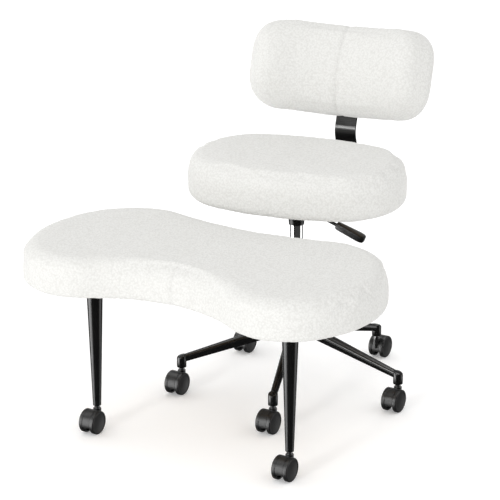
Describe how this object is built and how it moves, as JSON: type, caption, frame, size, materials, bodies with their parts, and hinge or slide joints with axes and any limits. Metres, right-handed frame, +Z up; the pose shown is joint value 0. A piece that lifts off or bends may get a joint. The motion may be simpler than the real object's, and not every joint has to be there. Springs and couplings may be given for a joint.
{
  "type": "cross-legged office chair",
  "caption": "Swivel chair with padded seat and low curved backrest on a gas lift, with a bean-shaped padded stool that swings round the column on legs with casters",
  "frame": {"origin": "on the floor under the axis of the gas lift column", "axes": "Z up; the stool lies towards -Y; X runs along the stool's two legs"},
  "size_m": [0.79, 0.9603, 0.7513],
  "materials": {
    "powder_coat": "satin black powder coat",
    "caster_plastic": "satin moulded black",
    "dark_steel": "plated steel",
    "boucle": "off-white looped pile cloth over foam",
    "chrome": "polished chrome",
    "plywood": "plain plywood",
    "bush_plastic": "black moulded bearing plastic"
  },
  "bodies": {
    "base": {"base_hub": "powder_coat", "base_arm_1": "powder_coat", "base_arm_2": "powder_coat", "base_arm_3": "powder_coat", "base_arm_4": "powder_coat", "base_arm_5": "powder_coat", "column_tube": "powder_coat", "column_bush": "bush_plastic", "thrust_bearing": "dark_steel"},
    "spindle": {"piston_rod": "dark_steel", "rod_clip": "dark_steel"},
    "seat": {"pressure_tube": "chrome", "seat_mechanism": "powder_coat", "mechanism_bolts": "dark_steel", "seat_board": "plywood", "seat_cushion": "boucle", "back_bar": "powder_coat", "bar_bolts": "dark_steel", "back_board": "plywood", "back_cushion": "boucle", "back_bolts": "dark_steel", "lever_pin": "dark_steel"},
    "lever": {"lever_rod": "powder_coat", "lever_grip": "caster_plastic"},
    "release": {"release_pin": "dark_steel"},
    "stool": {"stool_collar": "powder_coat", "collar_bush": "bush_plastic", "swing_arm": "powder_coat", "stool_board": "plywood", "stool_cushion": "boucle", "leg_plates": "powder_coat", "stool_leg_left": "powder_coat", "stool_leg_right": "powder_coat", "stool_bolts": "dark_steel"},
    "caster_1": {"caster_stem_1": "dark_steel", "caster_hood_1": "caster_plastic"},
    "wheels_1": {"caster_wheels_1": "caster_plastic"},
    "caster_2": {"caster_stem_2": "dark_steel", "caster_hood_2": "caster_plastic"},
    "wheels_2": {"caster_wheels_2": "caster_plastic"},
    "caster_3": {"caster_stem_3": "dark_steel", "caster_hood_3": "caster_plastic"},
    "wheels_3": {"caster_wheels_3": "caster_plastic"},
    "caster_4": {"caster_stem_4": "dark_steel", "caster_hood_4": "caster_plastic"},
    "wheels_4": {"caster_wheels_4": "caster_plastic"},
    "caster_5": {"caster_stem_5": "dark_steel", "caster_hood_5": "caster_plastic"},
    "wheels_5": {"caster_wheels_5": "caster_plastic"},
    "caster_6": {"caster_stem_6": "dark_steel", "caster_hood_6": "caster_plastic"},
    "wheels_6": {"caster_wheels_6": "caster_plastic"},
    "caster_7": {"caster_stem_7": "dark_steel", "caster_hood_7": "caster_plastic"},
    "wheels_7": {"caster_wheels_7": "caster_plastic"}
  },
  "joints": [
    {"name": "seat_swivel", "type": "hinge", "parent": "base", "child": "spindle", "pos_m": [0, 0, 0.2], "axis": [0, 0, 1], "continuous": true},
    {"name": "seat_lift", "type": "slide", "parent": "spindle", "child": "seat", "axis": [0, 0, 1], "range_m": [0, 0.08]},
    {"name": "lever_lift", "type": "hinge", "parent": "seat", "child": "lever", "pos_m": [0.02761, 0.00467, 0.40969], "axis": [0.1668, -0.986, 0], "range_deg": [0, 8], "stiffness_Nm_per_rad": 0.5},
    {"name": "release_press", "type": "slide", "parent": "seat", "child": "release", "axis": [0, 0, -1], "range_m": [0, 0.00399]},
    {"name": "stool_swing", "type": "hinge", "parent": "base", "child": "stool", "pos_m": [0, 0, 0.302], "axis": [0, 0, 1], "continuous": true},
    {"name": "caster_swivel_1", "type": "hinge", "parent": "base", "child": "caster_1", "pos_m": [0.25094, 0.00526, 0.056], "axis": [0, 0, 1], "continuous": true},
    {"name": "wheel_roll_1", "type": "hinge", "parent": "caster_1", "child": "wheels_1", "pos_m": [0.25094, -0.01374, 0.025], "axis": [1, 0, 0], "continuous": true},
    {"name": "caster_swivel_2", "type": "hinge", "parent": "base", "child": "caster_2", "pos_m": [0.07255, 0.24029, 0.056], "axis": [0, 0, 1], "continuous": true},
    {"name": "wheel_roll_2", "type": "hinge", "parent": "caster_2", "child": "wheels_2", "pos_m": [0.07255, 0.25929, 0.025], "axis": [1, 0, 0], "continuous": true},
    {"name": "caster_swivel_3", "type": "hinge", "parent": "base", "child": "caster_3", "pos_m": [-0.20611, 0.14325, 0.056], "axis": [0, 0, 1], "continuous": true},
    {"name": "wheel_roll_3", "type": "hinge", "parent": "caster_3", "child": "wheels_3", "pos_m": [-0.20611, 0.12425, 0.025], "axis": [1, 0, 0], "continuous": true},
    {"name": "caster_swivel_4", "type": "hinge", "parent": "base", "child": "caster_4", "pos_m": [-0.19993, -0.15175, 0.056], "axis": [0, 0, 1], "continuous": true},
    {"name": "wheel_roll_4", "type": "hinge", "parent": "caster_4", "child": "wheels_4", "pos_m": [-0.19993, -0.17075, 0.025], "axis": [1, 0, 0], "continuous": true},
    {"name": "caster_swivel_5", "type": "hinge", "parent": "base", "child": "caster_5", "pos_m": [0.08255, -0.23704, 0.056], "axis": [0, 0, 1], "continuous": true},
    {"name": "wheel_roll_5", "type": "hinge", "parent": "caster_5", "child": "wheels_5", "pos_m": [0.08255, -0.25604, 0.025], "axis": [1, 0, 0], "continuous": true},
    {"name": "caster_swivel_6", "type": "hinge", "parent": "stool", "child": "caster_6", "pos_m": [-0.234, -0.427, 0.056], "axis": [0, 0, 1], "continuous": true},
    {"name": "wheel_roll_6", "type": "hinge", "parent": "caster_6", "child": "wheels_6", "pos_m": [-0.234, -0.446, 0.025], "axis": [1, 0, 0], "continuous": true},
    {"name": "caster_swivel_7", "type": "hinge", "parent": "stool", "child": "caster_7", "pos_m": [0.234, -0.427, 0.056], "axis": [0, 0, 1], "continuous": true},
    {"name": "wheel_roll_7", "type": "hinge", "parent": "caster_7", "child": "wheels_7", "pos_m": [0.234, -0.446, 0.025], "axis": [1, 0, 0], "continuous": true}
  ],
  "couplings": [
    {"joint": "release_press", "follows": "lever_lift", "m_per_rad": 0.028}
  ]
}
